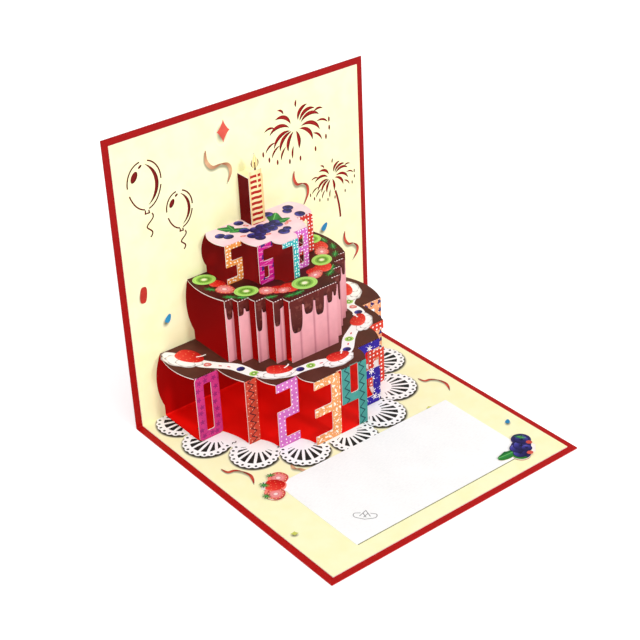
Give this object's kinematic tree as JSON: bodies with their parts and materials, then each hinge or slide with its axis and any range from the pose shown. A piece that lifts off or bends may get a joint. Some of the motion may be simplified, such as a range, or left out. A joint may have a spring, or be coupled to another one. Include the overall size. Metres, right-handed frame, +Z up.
{
  "type": "pop up card",
  "caption": "Greeting card standing open at a right angle, with a tiered paper cake and candle folded out of its lining and a loose message card tucked under fruit tabs",
  "frame": {"origin": "under the middle of the card, on the surface that it stands on", "axes": "+X to the card's right as it is read, +Y to the back, away from the reader, +Z up; the lying half is level and the standing half is upright along the back"},
  "size_m": [0.145, 0.15, 0.15],
  "materials": {
    "cover_card": "satin",
    "printed_paper": "satin",
    "white_paper": "matt"
  },
  "bodies": {
    "root": {"cover": "cover_card", "popup_sheet": "printed_paper", "message_card": "white_paper"}
  },
  "joints": []
}
